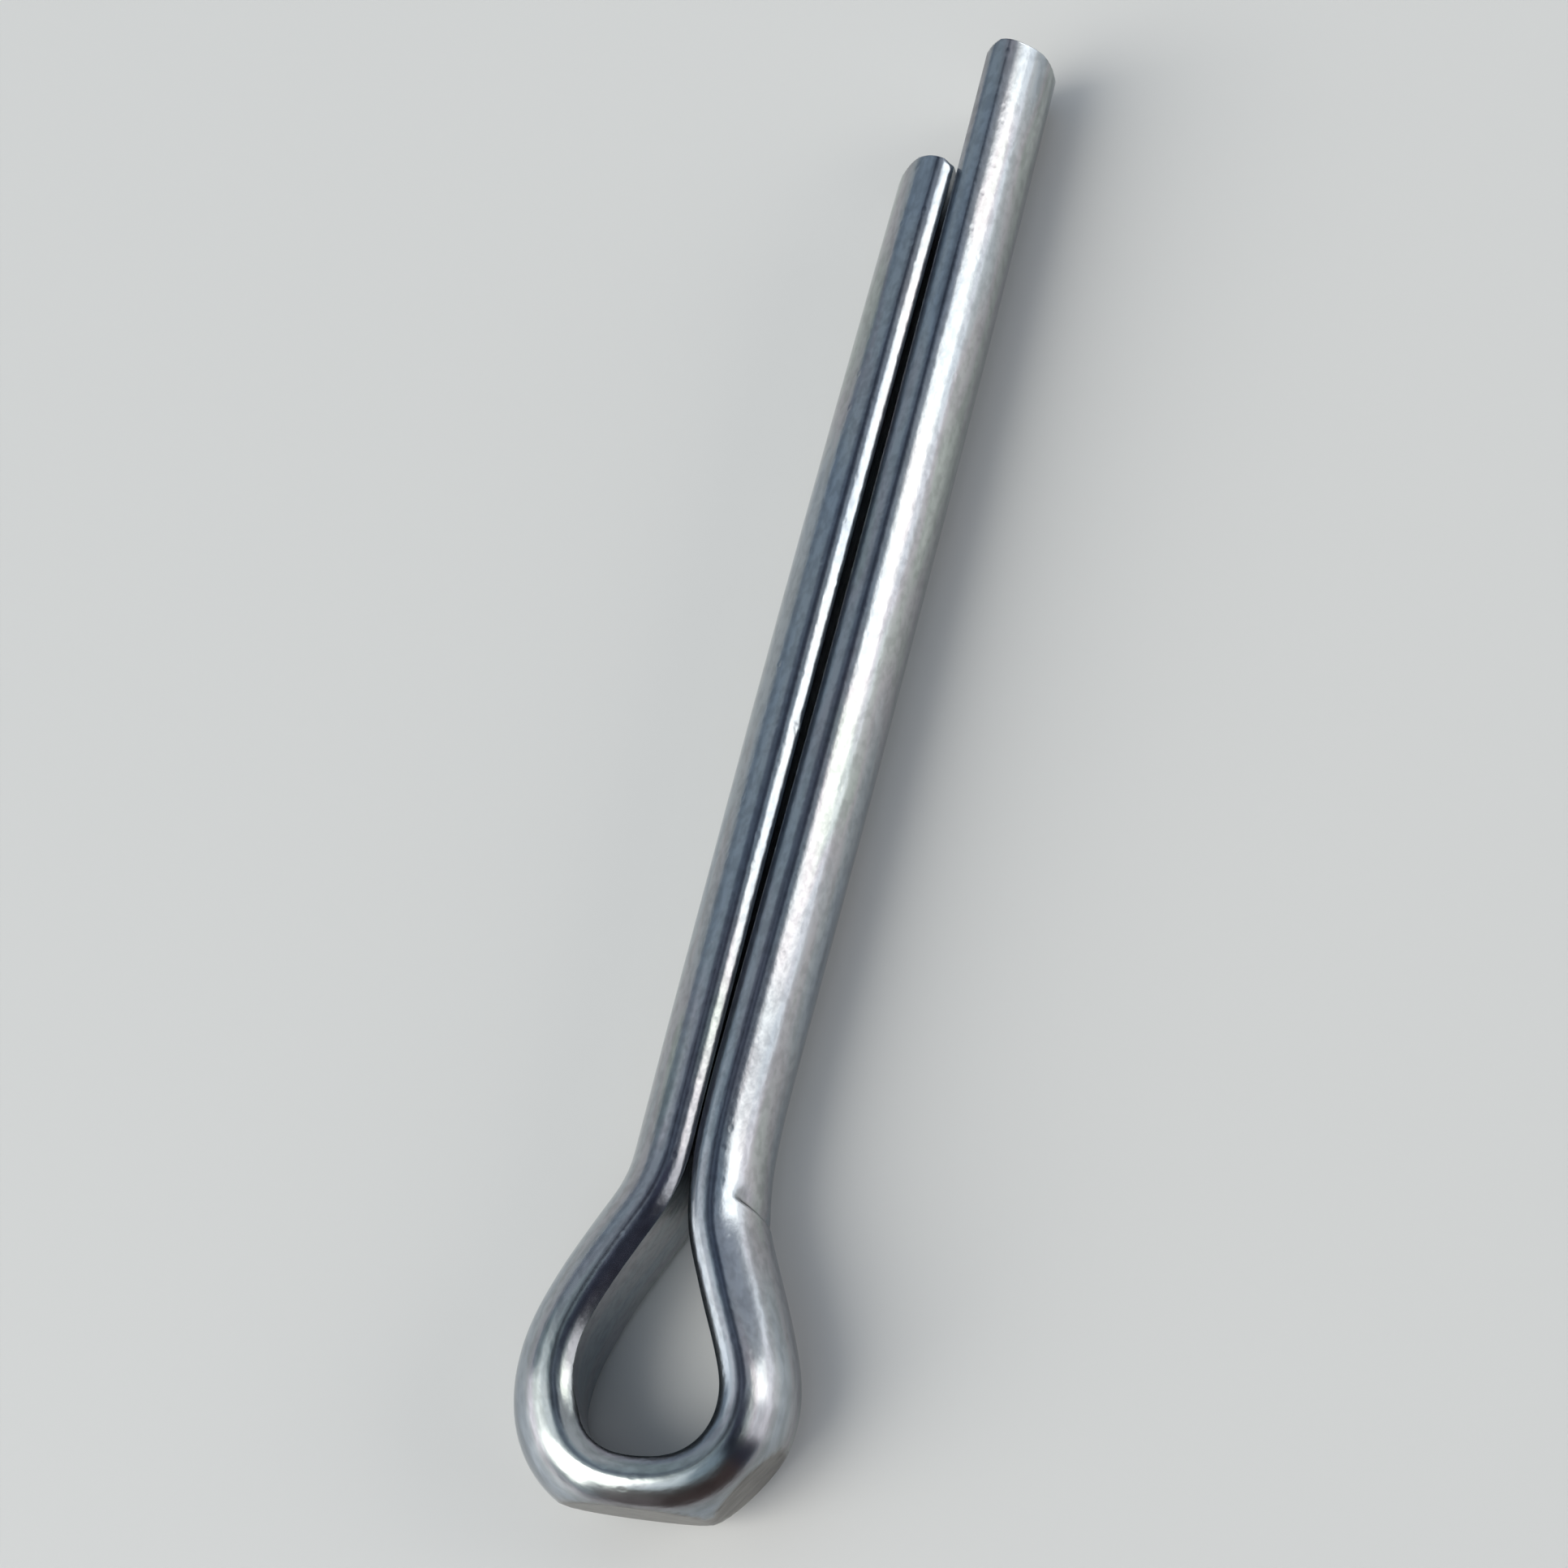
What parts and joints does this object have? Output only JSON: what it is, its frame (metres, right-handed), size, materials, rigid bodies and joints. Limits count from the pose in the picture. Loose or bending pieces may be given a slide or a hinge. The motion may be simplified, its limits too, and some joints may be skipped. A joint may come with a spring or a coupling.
{
  "type": "cotter pin",
  "caption": "Split pin bent from one half-round steel wire: a pressed teardrop eye and two straight prongs of unequal length with their flats facing.",
  "frame": {"origin": "on the axis of the shank at the shoulder, where the short prong meets the eye", "axes": "+X along the shank, from the eye towards the prong tips; +Z normal to the plane of the eye, up as the pin lies; the long prong is on the -Y side"},
  "size_m": [0.0396, 0.0069, 0.0034],
  "materials": {
    "zinc_plated_steel": "bright zinc plating on drawn mild steel wire, fine lengthwise draw marks and small pits"
  },
  "bodies": {
    "root": {"cotter_pin": "zinc_plated_steel"}
  },
  "joints": []
}
